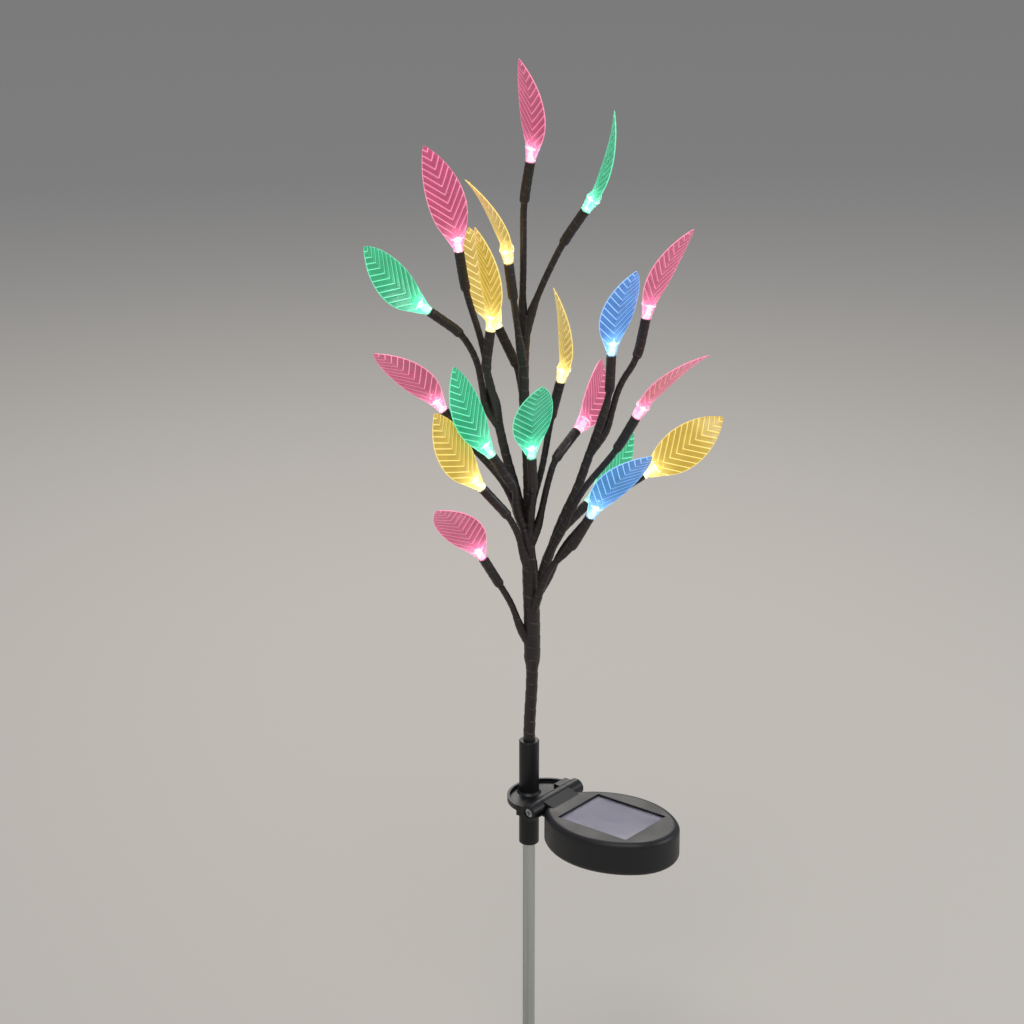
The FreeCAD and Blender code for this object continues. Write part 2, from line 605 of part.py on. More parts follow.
# Each twig: the bough that carries it, the height where it leaves, the side it leaves from as a
# yaw, its route up to its thicker end, the leaf's base, and the way the leaf's socket points
# (yaw, pitch) and curls (roll).
TWIGS = [
    ("trunk", 355, None, [(-4, 2, 388)], (0, 0, 451), (0, 81, 35)),
    ("trunk", 355, None, [(8, -1, 376)], (33, -4, 422), (-12, 57, 20)),
    ("left_bough", 306, None, [(-29, 5, 336)], (-43, 8, 393), (200, 81, 105)),
    ("trunk", 336, -115, [], (-13, -9, 391), (-118, 76, 145)),
    ("left_bough", 300, -70, [], (-24, -7, 347), (40, 80, 350)),
    ("left_bough", 297, -170, [(-32, 0, 326)], (-61, -8, 360), (-166, 38, 305)),
    ("trunk", 226, 80, [(8, 12, 252)], (19, 16, 307), (-30, 75, 50)),
    ("right_bough", 284, None, [], (50, 11, 326), (-75, 83, 200)),
    ("right_bough", 277, 20, [(55, 17, 304)], (71, 15, 348), (10, 79, 130)),
    ("lower_left_bough", 240, None, [(-22, 4, 253)], (-53, 8, 291), (-166, 56, 230)),
    ("lower_left_bough", 234, -90, [], (-23, -17, 270), (178, 56, 320)),
    ("trunk", 200, -130, [(-7, -8, 215)], (-29, -20, 250), (-170, 50, 305)),
    ("trunk", 228, -80, [], (1, -19, 270), (-100, 75, 215)),
    ("trunk", 218, 5, [(11, 1.5, 245)], (29, 20, 273), (54, 27, 265)),
    ("right_bough", 218, -70, [(32, -5, 243)], (65, -8, 292), (-18, 62, 160)),
    ("right_bough", 184, 30, [(21, 7, 201)], (70, 4, 250), (16, 28, 255)),
    ("right_bough", 196, 90, [], (36, 24, 223), (38, 30, 274)),
    ("trunk", 172, -60, [(13, -10, 195)], (37, -19, 231), (-18, 62, 135)),
    ("trunk", 150, 195, [(-11, -2, 166)], (-29, -14, 202), (-142, 58, 225)),
    ("trunk", 298, 90, [(-6, 11, 309)], (-19, 20, 340), (150, 60, 95)),
]


def point_at(route, height):
    """The point and direction of a route, in the tree frame, at a height."""
    for low, high in zip(route, route[1:]):
        if height <= high[2]:
            break
    low = V(*low)
    high = V(*high)
    along = (high - low).normalize()
    return low + (high - low) * ((height - low.z) / (high.z - low.z)), along


def carrier_radius(carrier, height):
    """The radius of a bough or the trunk, with its fork wrap, at a height of the tree frame."""
    nearly = size("twig_diameter") / 2 + size("pivot_swell") + size("free_gap")
    if carrier == "trunk" and FORK_WRAP[0][2] - nearly <= height <= FORK_WRAP[-1][2] + nearly:
        return size("fork_wrap_radius")
    if carrier == "trunk" and height > LEADER_START:
        return size("leader_diameter") / 2
    return size(CARRIERS[carrier][1]) / 2


def twig_pivot(number_of_twig):
    """Where a twig's ball sits beside its bough, or on its end, and the axis it bends about.

    Both are in the row frame.  A positive turn about the axis opens the twig away from its bough.
    The two twigs on the trunk's end stand side by side.
    """
    carrier, height, side, route, base, _ = TWIGS[number_of_twig]
    centre, along = point_at(CARRIERS[carrier][0], height)
    turn = math.radians(size("tree_turn"))
    along = V(along.x * math.cos(turn) - along.y * math.sin(turn),
              along.x * math.sin(turn) + along.y * math.cos(turn), along.z)
    centre = tree_to_row(centre)
    ball = size("twig_diameter") / 2 + size("pivot_swell")
    if side is None:
        next_point = tree_to_row(route[0] if route else base)
        outward = next_point - centre - along * (next_point - centre).dot(along)
        outward.normalize()
        spread = size("twin_spread") if carrier == "trunk" else 0.0
        pivot = centre + along * (ball + size("free_gap")) + outward * spread
    else:
        outward = heading(side, 0)
        outward = (outward - along * outward.dot(along)).normalize()
        reach = carrier_radius(carrier, height) + ball + size("free_gap")
        pivot = centre + outward * reach
    return pivot, along.cross(outward).normalize()


def twig_points(index):
    """A twig's route in the row frame: pivot, bends, start of the thicker end, leaf base."""
    route, base, (yaw, pitch, _) = TWIGS[index][3:]
    end = tree_to_row(base)
    shoulder = end - heading(yaw, pitch) * size("twig_end_length")
    return [twig_pivot(index)[0]] + [tree_to_row(point) for point in route] + [shoulder, end]


def bare_tube(name, points, radius, end_radius=None, end_start=None):
    """A plain wrapped bundle along a route of the tree frame.

    Where end_radius is given, the bundle has that radius above the height end_start.
    """
    edges = rounded_path([tree_to_row(point) for point in points])
    tube = doc.addObject("Part::Feature", name)
    if end_radius is None:
        tube.Shape = swept(edges, radius)
    else:
        lower, upper = split_path(edges, length_above(points, end_start))
        tube.Shape = swept(lower, radius).fuse([swept(upper, end_radius)]).Solids[0]
    return tube


def length_above(points, height):
    """How much of a route of straight runs lies above a height."""
    corners = [point_at(points, height)[0]]
    corners += [V(*point) for point in points if point[2] > height]
    return sum((high - low).Length for low, high in zip(corners, corners[1:]))


def build_boughs():
    """The trunk, its thicker wrap below the fork, and the three boughs cut to sit on it."""
    trunk = node("trunk", bare_tube("trunk", TRUNK, size("trunk_diameter") / 2,
                                    size("leader_diameter") / 2, LEADER_START))
    right = cut("right_bough", bare_tube("right_bough_bar", RIGHT_BOUGH,
                                         size("bough_diameter") / 2), [trunk])
    left = cut("left_bough", bare_tube("left_bough_bar", LEFT_BOUGH,
                                       size("bough_diameter") / 2), [trunk])
    lower = cut("lower_left_bough", bare_tube("lower_left_bar", LOWER_LEFT_BOUGH,
                                              size("lower_bough_diameter") / 2), [trunk, left])
    wrap = cut("fork_wrap", bare_tube("fork_wrap_bar", FORK_WRAP, size("fork_wrap_radius")),
               [trunk, right])
    node("right_bough", right)
    node("left_bough", left)
    node("lower_left_bough", lower)
    node("fork_wrap", wrap)


def build_twigs():
    """Wrapped twigs: a ball at the pivot, a thin lower run and a thicker end under the leaf."""
    thin = size("twig_diameter") / 2
    straight_share = 0.96
    for index in range(len(TWIGS)):
        points = twig_points(index)
        lower, upper = split_path(rounded_path(points), size("twig_end_length") * straight_share)
        ball = Part.makeSphere(thin + size("pivot_swell"), points[0])
        shape = ball.fuse([swept(lower, thin), swept(upper, size("twig_end_diameter") / 2)])
        shape = shape.removeSplitter()
        if len(shape.Solids) != 1:
            raise ValueError("twig %d is not one piece" % (index + 1))
        twig = doc.addObject("Part::Feature", "twig_%02d" % (index + 1))
        twig.Shape = shape.Solids[0]
        node("twig_%02d" % (index + 1), twig)


# ---------------------------------------------------------------- leaves
def arc_through(centre_x, crest_y, x, y):
    """Centre and radius of the circle that crests at (centre_x, crest_y) and passes (x, y)."""
    rise = crest_y - y
    radius = ((centre_x - x) ** 2 + rise ** 2) / (2 * rise)
    return V(centre_x, crest_y - radius, 0), radius


def build_leaf_plan():
    """The leaf's outline, padded upwards: straight from the base to the neck, then one arc up to
    the widest place and one down to the tip, the same on both sides."""
    body = doc.addObject("PartDesign::Body", "leaf_plan")
    sketch = sketch_on(body, "leaf_outline", "XY_Plane")
    widest = ("leaf_widest", "leaf_width / 2")
    neck = ("leaf_neck", "leaf_neck_half")
    tip = ("leaf_length * cos(leaf_bow * 1deg)", "leaf_tip_half")
    base = ("0", "leaf_base_half")
    corners = []
    for side in (1, -1):
        signed = {key: ("%s" % x, y if side > 0 else "0 - " + y)
                  for key, (x, y) in (("widest", widest), ("neck", neck), ("tip", tip),
                                      ("base", base))}
        run = sketch.addGeometry(Part.LineSegment(
            *[V(number(signed[key][0]), number(signed[key][1]), 0)
              for key in ("base", "neck")]), False)
        pin(sketch, run, 1, *signed["base"])
        pin(sketch, run, 2, *signed["neck"])
        for key in ("neck", "tip"):
            x, y = number(signed[key][0]), number(signed[key][1])
            centre, radius = arc_through(number(widest[0]), number(widest[1]), x, abs(y))
            crest = side * math.pi / 2
            centre.y *= side
            other = math.atan2(y - centre.y, x - centre.x)
            if (side > 0) == (key == "neck"):
                start, finish, crest_vertex = crest, other, 1
            else:
                start, finish, crest_vertex = other, crest, 2
            arc = sketch.addGeometry(Part.ArcOfCircle(
                Part.Circle(centre, V(0, 0, 1), radius), start, finish), False)
            pin(sketch, arc, crest_vertex, *signed["widest"])
            pin(sketch, arc, 3 - crest_vertex, *signed[key])
            index = sketch.addConstraint(
                Sketcher.Constraint("DistanceX", -1, 1, arc, 3, number(widest[0])))
            sketch.setExpression("Constraints[%d]" % index, expression(widest[0]))
        corners.append(signed)
    for key in ("base", "tip"):
        line = sketch.addGeometry(Part.LineSegment(
            *[V(number(signed[key][0]), number(signed[key][1]), 0) for signed in corners]),
            False)
        pin(sketch, line, 1, *corners[0][key])
        pin(sketch, line, 2, *corners[1][key])
    pad = body.newObject("PartDesign::Pad", "leaf_plan_pad")
    pad.Profile = sketch
    pad.Midplane = True
    bind(pad, Length="leaf_length")
    body.Tip = pad
    return body


def build_leaf():
    """One leaf: a bowed blade with a hollow socket, and the lamp that sits in it.

    The socket points along +X, the blade's width lies along Y, and the blade curls towards +Z on
    a circle that turns by twice leaf_bow over the leaf's length.
    """
    bend = "leaf_length / (2 * sin(leaf_bow * 1deg))"
    rings = [cylinder(name, "%s %s leaf_thickness / 2" % (bend, sign), "2 * leaf_width", "0",
                      "0 - leaf_width", bend, V(1, 0, 0), -90.0)
             for name, sign in (("bend_outer", "+"), ("bend_inner", "-"))]
    blade = doc.addObject("Part::Common", "blade")
    blade.Base = cut("bend_ring", rings[0], [rings[1]])
    blade.Tool = build_leaf_plan()
    socket = turned("lamp_socket", [
        ("0", "0"), ("0", "socket_mouth_radius"), ("0.7 * socket_length", "socket_wide_radius"),
        ("socket_length", "0.75 * socket_wide_radius"),
        ("1.14 * socket_length", "0.35 * socket_wide_radius"), ("1.14 * socket_length", "0")],
        "H_Axis")
    bore = cylinder("lamp_bore", "lamp_radius + lamp_gap", "2 * (lamp_length + lamp_gap)",
                    "0 - lamp_length - lamp_gap", "0", "0", V(0, 1, 0), 90.0)
    moulding = cut("leaf_moulding", fuse("leaf_solid", [blade, socket]), [bore])
    lamp = turned("lamp", [
        ("0", "0"), ("0", "lamp_radius"), ("0.75 * lamp_length", "lamp_radius"),
        ("0.93 * lamp_length", "0.6 * lamp_radius"), ("lamp_length", "0")], "H_Axis")
    for index, twig in enumerate(TWIGS):
        base, (yaw, pitch, roll) = twig[4:]
        socket_way = heading(yaw, pitch)
        upright = (V(0, 0, 1) - socket_way * socket_way.z).normalize()
        sideways = socket_way.cross(upright)
        turn = math.radians(roll)
        curl = upright * math.cos(turn) + sideways * math.sin(turn)
        across = curl.cross(socket_way)
        leaf = doc.addObject("Part::Compound", "leaf_%02d" % (index + 1))
        leaf.Links = [moulding, lamp]
        leaf.Placement = App.Placement(tree_to_row(base),
                                       App.Rotation(socket_way, across, curl, "XZY"))
        node("leaf_%02d" % (index + 1), leaf)


# ---------------------------------------------------------------- build, check and write
def check(thing):
    """Stop if a feature failed or its shape is missing or invalid."""
    if {"Invalid", "Error"} & set(thing.State):
        raise ValueError("%s failed: %s" % (thing.Name, thing.State))


def build():
    """Build every sub-part, check it and write its STEP file."""
    build_stake()
    build_bracket()
    build_hinge_screw()
    build_top_cover()
    build_bottom_cover()
    build_cell()
    build_battery()
    build_board()
    build_switch()
    build_fixings()
    build_boughs()
    build_twigs()
    build_leaf()
    doc.recompute()
    for thing in doc.Objects:
        check(thing)
    os.makedirs("parts", exist_ok=True)
    for name, thing in NODES.items():
        shape = thing.Shape
        if shape.isNull() or not shape.isValid() or not shape.Solids:
            raise ValueError("%s has no valid solid" % name)
        shape.exportStep("parts/%s.step" % name)
        print("%-20s %2d solid(s) %10.1f mm3" % (name, len(shape.Solids), shape.Volume))


build()
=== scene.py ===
"""Looks of the solar branch light: lit leaves on tape-wrapped twigs, a black bracket, a solar head
and a clear ground stake.

Everything is in metres in the row frame: +Z up, the origin on the stake at ground level, +X towards
the solar head.  The branches are laid out in a tree frame in millimetres, whose origin is at the
collar's lower face and which is turned TREE_TURN about Z from the row frame.
"""
import json
import math

import bpy
import numpy as np
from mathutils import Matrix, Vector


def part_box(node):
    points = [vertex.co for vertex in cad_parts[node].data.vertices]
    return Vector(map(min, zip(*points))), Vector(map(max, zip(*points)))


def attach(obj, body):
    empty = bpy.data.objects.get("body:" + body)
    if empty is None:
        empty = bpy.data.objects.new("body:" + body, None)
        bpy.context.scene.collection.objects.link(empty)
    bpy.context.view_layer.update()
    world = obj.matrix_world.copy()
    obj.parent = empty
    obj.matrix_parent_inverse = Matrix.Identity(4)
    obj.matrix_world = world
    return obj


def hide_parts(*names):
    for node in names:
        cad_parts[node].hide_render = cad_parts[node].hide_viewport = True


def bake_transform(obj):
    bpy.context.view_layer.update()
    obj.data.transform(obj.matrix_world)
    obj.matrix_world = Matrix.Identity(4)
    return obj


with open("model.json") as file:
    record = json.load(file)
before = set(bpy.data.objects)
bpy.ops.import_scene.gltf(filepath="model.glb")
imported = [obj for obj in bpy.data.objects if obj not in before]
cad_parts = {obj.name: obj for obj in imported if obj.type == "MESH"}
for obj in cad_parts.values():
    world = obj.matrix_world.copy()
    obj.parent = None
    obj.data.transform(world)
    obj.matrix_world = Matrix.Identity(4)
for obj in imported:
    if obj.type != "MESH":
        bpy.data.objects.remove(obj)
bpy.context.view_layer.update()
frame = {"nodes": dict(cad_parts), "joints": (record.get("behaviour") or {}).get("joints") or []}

MM = 0.001
TREE_TURN = math.radians(38)
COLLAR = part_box("bracket")[0].z

# ------------------------------------------------- sizes of the branches, millimetres
TRUNK = [(0, 0, 39), (0, 0, 82), (1.8, 0, 112), (1.8, 0, 150), (0.5, 0.5, 186), (-0.5, 1, 222),
         (-1, 2, 260), (-3.5, 2, 298), (-4, 2, 326), (-2, 1.5, 355)]
LEFT_BOUGH = [(-0.6, 1, 190), (-1, 1, 206), (-7, 3, 236), (-15, 4, 264), (-20, 4, 288),
              (-24, 4, 306)]
LOWER_LEFT_BOUGH = [(0.4, 0, 188), (-1, 0, 204), (-6, -4, 226), (-11, -5, 240)]
RIGHT_BOUGH = [(1.7, 0, 140), (1.5, 0, 156), (4.5, 1, 174), (11, 2, 194), (20, 4, 220),
               (30, 8, 240), (36, 11, 258), (42, 13, 274), (45, 13, 284)]
CARRIERS = {"trunk": TRUNK, "left": LEFT_BOUGH, "lower_left": LOWER_LEFT_BOUGH,
            "right": RIGHT_BOUGH}
TRUNK_RADIUS, LEADER_RADIUS, FORK_RADIUS = 3.8, 3.3, 5.2
FORK_RISE, FORK_FALL, TRUNK_TAPER = (120, 130), (184, 206), (170, 205)  # heights, from and to
TAPE_PITCH = {"trunk": 0.0085, "bough": 0.0072, "lower_bough": 0.0065, "twig": 0.0052}  # metres
TRUNK_INSET, TWIG_INSET = 0.08, 0.05  # the tape's lip stands proud by about as much
TWIG_ROOT_DROP, FOOT_SWELL, END_SHARE = 15, 0.9, 0.96
TWIG_RADIUS, TWIG_END_RADIUS, TWIG_END_LENGTH = 2.1, 3.1, 26.0

# Each twig: carrier, the height where it leaves, its bends, the leaf's base, the way the leaf's
# socket points (yaw, pitch) and curls (roll), and the leaf's colour.
TWIGS = [
    ("trunk", 355, [(-4, 2, 388)], (0, 0, 451), (0, 81, 35), "pink"),
    ("trunk", 355, [(8, -1, 376)], (33, -4, 422), (-12, 57, 20), "green"),
    ("left", 306, [(-29, 5, 336)], (-43, 8, 393), (200, 81, 105), "pink"),
    ("trunk", 336, [], (-13, -9, 391), (-118, 76, 145), "yellow"),
    ("left", 300, [], (-24, -7, 347), (40, 80, 350), "yellow"),
    ("left", 297, [(-32, 0, 326)], (-61, -8, 360), (-166, 38, 305), "green"),
    ("trunk", 226, [(8, 11, 252)], (19, 16, 307), (-30, 75, 50), "yellow"),
    ("right", 284, [], (50, 11, 326), (-75, 83, 200), "blue"),
    ("right", 277, [(55, 17, 304)], (71, 15, 348), (10, 79, 130), "pink"),
    ("lower_left", 240, [(-22, 4, 253)], (-53, 8, 291), (-166, 56, 230), "pink"),
    ("lower_left", 234, [], (-23, -17, 270), (178, 56, 320), "green"),
    ("trunk", 200, [(-7, -8, 215)], (-29, -20, 250), (-170, 50, 305), "yellow"),
    ("trunk", 228, [], (1, -19, 270), (-100, 75, 215), "green"),
    ("trunk", 218, [(11, 1.5, 245)], (29, 20, 273), (54, 27, 265), "pink"),
    ("right", 218, [(32, -5, 243)], (65, -8, 292), (-18, 62, 160), "pink"),
    ("right", 184, [(21, 7, 201)], (70, 4, 250), (16, 28, 255), "yellow"),
    ("right", 196, [], (36, 24, 223), (38, 30, 274), "green"),
    ("trunk", 172, [(13, -10, 195)], (37, -19, 231), (-18, 62, 135), "blue"),
    ("trunk", 150, [(-11, -2, 166)], (-29, -14, 202), (-142, 58, 225), "pink"),
    ("trunk", 298, [(-6, 11, 309)], (-19, 20, 340), (150, 60, 95), "warm"),
]

# The leaf: length along its curve, half widths, thickness and the half angle that it bends by.
LEAF_LENGTH, LEAF_BOW, LEAF_THICKNESS = 67.0, math.radians(18), 1.5
LEAF_WIDEST, LEAF_HALF_WIDTH, LEAF_NECK, LEAF_NECK_HALF = 31.0, 13.25, 12.0, 8.0
LEAF_BASE_HALF, LEAF_TIP_HALF = 2.4, 0.5
VEIN_PITCH, VEIN_SLOPE, VEIN_HEIGHT = 5.0, 1.0, 0.2
BLADE_STATIONS, BLADE_SIDES = 190, 72
LAMP_RADIUS, LAMP_LENGTH = 2.2, 9.4


# ---------------------------------------------------------------- layout
def row(points):
    """Points of the tree frame in mm, turned by TREE_TURN about Z and lifted, as metres."""
    p = np.asarray(points, float).reshape(-1, 3) * MM
    c, s = math.cos(TREE_TURN), math.sin(TREE_TURN)
    return np.stack([p[:, 0] * c - p[:, 1] * s, p[:, 0] * s + p[:, 1] * c, p[:, 2] + COLLAR], 1)


def heading(yaw, pitch):
    """The unit direction with that yaw (from the tree frame's X) and pitch, in degrees."""
    turn, lift = math.radians(yaw) + TREE_TURN, math.radians(pitch)
    return np.array([math.cos(turn) * math.cos(lift), math.sin(turn) * math.cos(lift),
                     math.sin(lift)])


def point_at(route, height):
    """The point of a tree-frame route at a height, by linear interpolation over its corners."""
    r = np.asarray(route, float)
    return np.array([np.interp(height, r[:, 2], r[:, k]) for k in range(3)])


def rounded(points, step):
    """Evenly spaced points along straight runs whose corners are quadratic curves.

    At each corner the curve leaves and joins the runs at 0.45 of the shorter run's length.
    """
    p = np.asarray(points, float)
    pieces = [p[:1]]
    t = np.linspace(0, 1, 12)[:, None]
    for before, corner, after in zip(p, p[1:], p[2:]):
        back, on = before - corner, after - corner
        reach = 0.45 * min(np.linalg.norm(back), np.linalg.norm(on))
        a = corner + back / np.linalg.norm(back) * reach
        b = corner + on / np.linalg.norm(on) * reach
        pieces.append((1 - t) ** 2 * a + 2 * t * (1 - t) * corner + t ** 2 * b)
    pieces.append(p[-1:])
    line = np.concatenate(pieces)
    along = np.concatenate([[0], np.cumsum(np.linalg.norm(np.diff(line, axis=0), axis=1))])
    count = max(8, int(along[-1] / step))
    want = np.linspace(0, along[-1], count)
    return np.stack([np.interp(want, along, line[:, k]) for k in range(3)], 1), want


def smooth_step(low, high, x):
    """0 below low, 1 above high and 3t^2 - 2t^3 between, t being the share of the way."""
    t = np.clip((x - low) / (high - low), 0, 1)
    return t * t * (3 - 2 * t)


# ---------------------------------------------------------------- mesh building
def closed_grid(points, u, v):
    """Vertices, faces and corner coordinates of a grid closed round its second direction.

    points has shape (n, m, 3).  The first and last rings shrink to the mean of their points.
    u has n values and v has m + 1, the last one for the seam.
    """
    n, m = points.shape[:2]
    body = points.reshape(-1, 3)
    verts = np.concatenate([body, [points[0].mean(0)], [points[-1].mean(0)]])
    i, j = np.meshgrid(np.arange(n - 1), np.arange(m), indexing="ij")
    k = (j + 1) % m
    quads = np.stack([i * m + j, i * m + k, (i + 1) * m + k, (i + 1) * m + j], -1).reshape(-1, 4)
    qu = np.stack([u[i], u[i], u[i + 1], u[i + 1]], -1).reshape(-1)
    qv = np.stack([v[j], v[j + 1], v[j + 1], v[j]], -1).reshape(-1)
    c = np.arange(m)
    d = (c + 1) % m
    first = np.stack([np.full(m, n * m), d, c], -1)
    last = np.stack([np.full(m, n * m + 1), (n - 1) * m + c, (n - 1) * m + d], -1)
    tu = np.concatenate([np.full(3 * m, u[0]), np.full(3 * m, u[-1])])
    tv = np.concatenate([np.stack([v[c], v[c + 1], v[c]], -1).reshape(-1),
                         np.stack([v[c], v[c], v[c + 1]], -1).reshape(-1)])
    faces = quads.tolist() + first.tolist() + last.tolist()
    tris = np.concatenate([quads[:, [0, 1, 2]], quads[:, [0, 2, 3]], first, last])
    a, b, e = (verts[tris[:, q]] for q in range(3))
    uv = np.stack([np.concatenate([qu, tu]), np.concatenate([qv, tv])], 1)
    if np.einsum("ij,ij->", a, np.cross(b, e)) < 0:
        faces = [face[::-1] for face in faces]
        size = len(quads) * 4
        uv = np.concatenate([uv[:size].reshape(-1, 4, 2)[:, ::-1].reshape(-1, 2),
                             uv[size:].reshape(-1, 3, 2)[:, ::-1].reshape(-1, 2)])
    return verts, faces, uv


def piece(name, parts, material):
    """One smooth-shaded object from one or more closed grids, with their UVs side by side."""
    verts, faces, uvs, start = [], [], [], 0
    for v, f, uv in parts:
        verts.append(v)
        faces += [[q + start for q in face] for face in f]
        uvs.append(uv)
        start += len(v)
    mesh = bpy.data.meshes.new(name)
    mesh.from_pydata(np.concatenate(verts).tolist(), [], faces)
    layer = mesh.uv_layers.new(name="along_around")
    layer.data.foreach_set("uv", np.concatenate(uvs).astype(np.float32).ravel())
    mesh.polygons.foreach_set("use_smooth", [True] * len(mesh.polygons))
    mesh.materials.append(material)
    mesh.update()
    thing = bpy.data.objects.new(name, mesh)
    bpy.context.scene.collection.objects.link(thing)
    return thing


def wrapped_tube(points, radius, pitch, sides=20, step=0.00045, lip=0.00016):
    """A tape-wrapped bundle along a route given in metres.

    The radius is radius(s, total) at the distance s, plus a spiral step: it grows by lip over one
    turn of the tape, s / pitch + angle / (2 pi), and drops back where the next turn begins.
    """
    line, s = rounded(points, step)
    way = np.gradient(line, axis=0)
    way /= np.linalg.norm(way, axis=1)[:, None]
    chord = line[-1] - line[0]
    aside = np.cross(chord, (0.31, 0.95, 0.05))
    aside /= np.linalg.norm(aside)
    side = aside - way * (way @ aside)[:, None]
    side /= np.linalg.norm(side, axis=1)[:, None]
    other = np.cross(way, side)
    around = np.arange(sides) / sides
    turns = s[:, None] / pitch + around[None, :]
    sway = 0.05 * np.sin(2 * np.pi * (turns * 0.37 + 3 * around)) * lip
    r = radius(s, s[-1])[:, None] + lip * (turns % 1.0 - 0.5) + sway
    angle = 2 * np.pi * around[None, :, None]
    grid = line[:, None] + r[:, :, None] * (side[:, None] * np.cos(angle)
                                            + other[:, None] * np.sin(angle))
    return closed_grid(grid, s / pitch, np.arange(sides + 1) / sides)


def turned(profile, sides=32):
    """A profile of (distance along X, radius) in mm turned about X, as a closed grid."""
    p = np.asarray(profile, float) * MM
    angle = 2 * np.pi * np.arange(sides) / sides
    grid = np.stack([np.repeat(p[:, :1], sides, 1), p[:, 1:] * np.cos(angle),
                     p[:, 1:] * np.sin(angle)], -1)
    return closed_grid(grid, p[:, 0] * 100, np.arange(sides + 1) / sides)


# ---------------------------------------------------------------- leaves
def half_width(x):
    """The blade's half width in mm at a distance x: straight to the neck, then two arcs that
    crest at the widest place, y = crest - r + sqrt(r^2 - (x - widest)^2)."""
    tip = LEAF_LENGTH * math.cos(LEAF_BOW)

    def arc(end, low):
        rise = LEAF_HALF_WIDTH - low
        r = ((LEAF_WIDEST - end) ** 2 + rise ** 2) / (2 * rise)
        return LEAF_HALF_WIDTH - r + np.sqrt(np.maximum(r * r - (x - LEAF_WIDEST) ** 2, 0))
    straight = LEAF_BASE_HALF + (LEAF_NECK_HALF - LEAF_BASE_HALF) * x / LEAF_NECK
    y = np.where(x < LEAF_WIDEST, arc(LEAF_NECK, LEAF_NECK_HALF), arc(tip, LEAF_TIP_HALF))
    return np.maximum(np.where(x < LEAF_NECK, straight, y), LEAF_TIP_HALF)


def vein(x, y):
    """1 on a vein and 0 between: a bump at each whole number of (x - slope |y|) / pitch, fading
    towards the base and the rim."""
    phase = (x - VEIN_SLOPE * np.abs(y)) / VEIN_PITCH
    off = np.abs(phase - np.round(phase)) * VEIN_PITCH
    inside = smooth_step(0.3, 1.6, half_width(x) - np.abs(y))
    return np.exp(-(off / 0.5) ** 2) * smooth_step(9, 14, x) * inside


def blade_angles():
    """Evenly spaced angles round the blade's section, half a step off its edges."""
    return 2 * np.pi * (np.arange(BLADE_SIDES) + 0.5) / BLADE_SIDES


def blade():
    """The bowed blade: stations on an arc that turns by twice the bow, each a flat oval of
    half width half_width(x), y = cos(angle), thickness = |sin(angle)|^0.4, plus raised veins."""
    bend = LEAF_LENGTH / (2 * math.sin(LEAF_BOW))
    a = np.linspace(0.03, 2 * LEAF_BOW, BLADE_STATIONS)
    angle = blade_angles()
    x = bend * np.sin(a)[:, None]
    y = half_width(x) * np.cos(angle)[None, :]
    taper = 0.55 + 0.45 * smooth_step(0, 6, half_width(x))
    swell = np.sign(np.sin(angle)) * np.abs(np.sin(angle)) ** 0.4
    z = (0.5 * LEAF_THICKNESS * taper - 0.12) * swell[None, :]
    z = z + VEIN_HEIGHT * vein(x, y) * np.sign(z) * np.abs(swell)[None, :]
    grid = np.stack([(bend - z) * np.sin(a)[:, None] + 0 * y, y,
                     bend - (bend - z) * np.cos(a)[:, None]], -1) * MM
    verts, faces, _ = closed_grid(grid, np.zeros(BLADE_STATIONS), np.zeros(BLADE_SIDES + 1))
    order = [q for face in faces for q in face]
    flat = np.concatenate([np.stack([x + 0 * y, y], -1).reshape(-1, 2),
                           [[x[0, 0], 0]], [[x[-1, 0], 0]]])[order]
    return verts, faces, flat / 100 + 0.5


def blade_rim():
    """How near each of the blade's vertices is to its rim: |cos(angle)| from 0.95 to 1, the mask
    where the leaf's material paints a highlight and glow.
    """
    rim = np.tile(smooth_step(0.95, 0.995, np.abs(np.cos(blade_angles()))), BLADE_STATIONS)
    return np.concatenate([rim, [0, 1]])


def socket():
    """The flared clear socket with the lamp's bore in its mouth, turned about X."""
    return turned([(9.7, 0.05), (9.7, 2.35), (0.3, 2.35), (0.0, 2.5), (0.0, 2.95), (0.2, 3.08),
                   (2.2, 3.2), (4.6, 3.65), (7.0, 4.1), (8.2, 4.25), (8.5, 4.5), (9.4, 4.5),
                   (9.7, 4.3), (11.2, 4.05), (12.6, 3.6), (13.6, 2.9), (14.5, 1.8),
                   (14.8, 0.6)])


def lamp():
    """The clear-domed lamp in the socket: a short cylinder that closes in a rounded nose."""
    nose = np.linspace(0, math.pi / 2, 10)[:-1]
    dome = [(LAMP_LENGTH - LAMP_RADIUS + LAMP_RADIUS * math.sin(t), LAMP_RADIUS * math.cos(t))
            for t in nose]
    return turned([(0.2, LAMP_RADIUS * 0.8), (0.35, LAMP_RADIUS)] + dome)


def leaf_turn(aim):
    """The leaf's own axes as columns: socket way, across the blade, and the way it curls."""
    yaw, pitch, roll = aim
    way = heading(yaw, pitch)
    upright = np.array([0, 0, 1.0]) - way * way[2]
    upright /= np.linalg.norm(upright)
    sideways = np.cross(way, upright)
    curl = upright * math.cos(math.radians(roll)) + sideways * math.sin(math.radians(roll))
    return np.stack([way, np.cross(curl, way), curl], 1)


def placed(part, turn, at):
    """A closed grid's part turned by a 3 by 3 array and moved."""
    verts, faces, uv = part
    return verts @ turn.T + at, faces, uv


